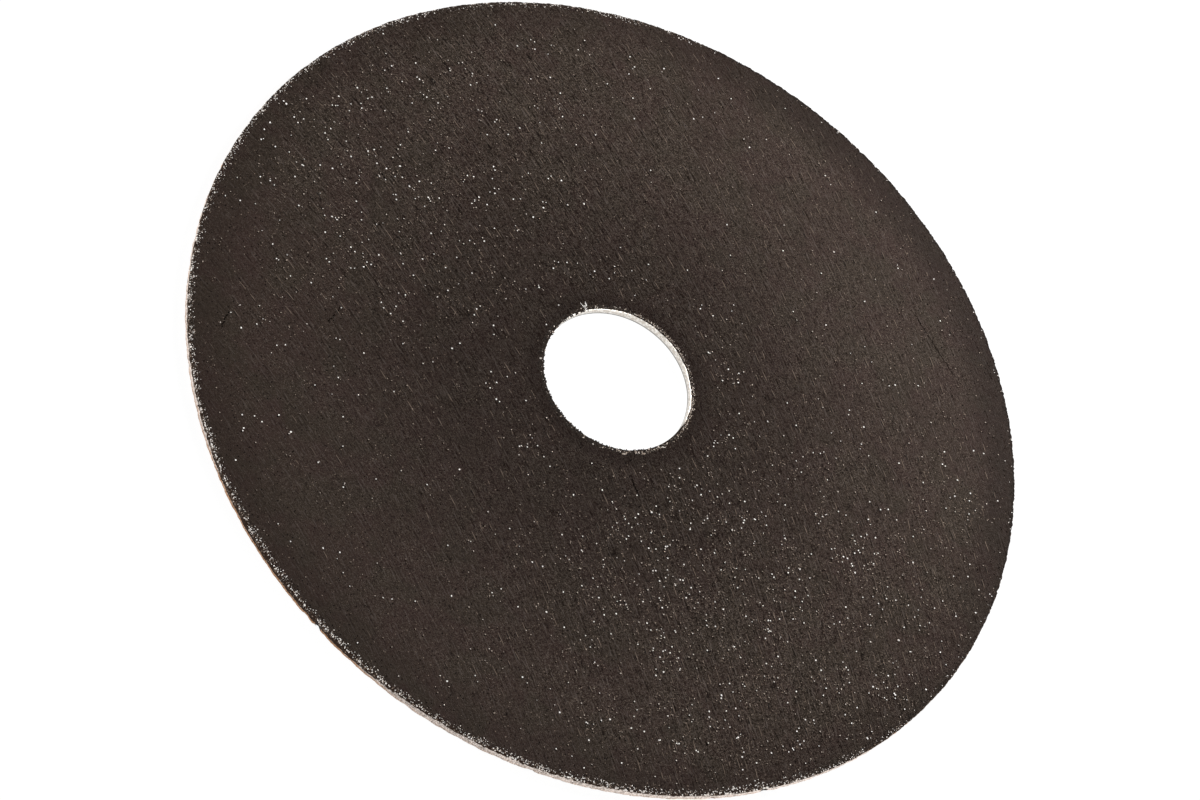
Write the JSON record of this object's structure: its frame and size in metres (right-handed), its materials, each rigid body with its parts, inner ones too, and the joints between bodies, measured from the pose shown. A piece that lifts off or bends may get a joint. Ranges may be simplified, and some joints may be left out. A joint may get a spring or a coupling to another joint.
{
  "type": "cut off wheel",
  "caption": "Thin flat round abrasive wheel for cutting metal, with a pressed steel ring lining its centre hole.",
  "frame": {"origin": "centre of the wheel's underside, on its axis, where it lies on a surface", "axes": "+Z along the wheel's axis, out of the face that the picture shows; the ring's flange is on the underside; X and Y are equal by symmetry"},
  "size_m": [0.125, 0.125, 0.0016],
  "materials": {
    "bonded_abrasive": "dark brown resin-bonded abrasive, fine grain, faint satin",
    "ring_steel": "bright pressed sheet steel"
  },
  "bodies": {
    "root": {"abrasive_wheel": "bonded_abrasive", "bore_ring": "ring_steel"}
  },
  "joints": []
}
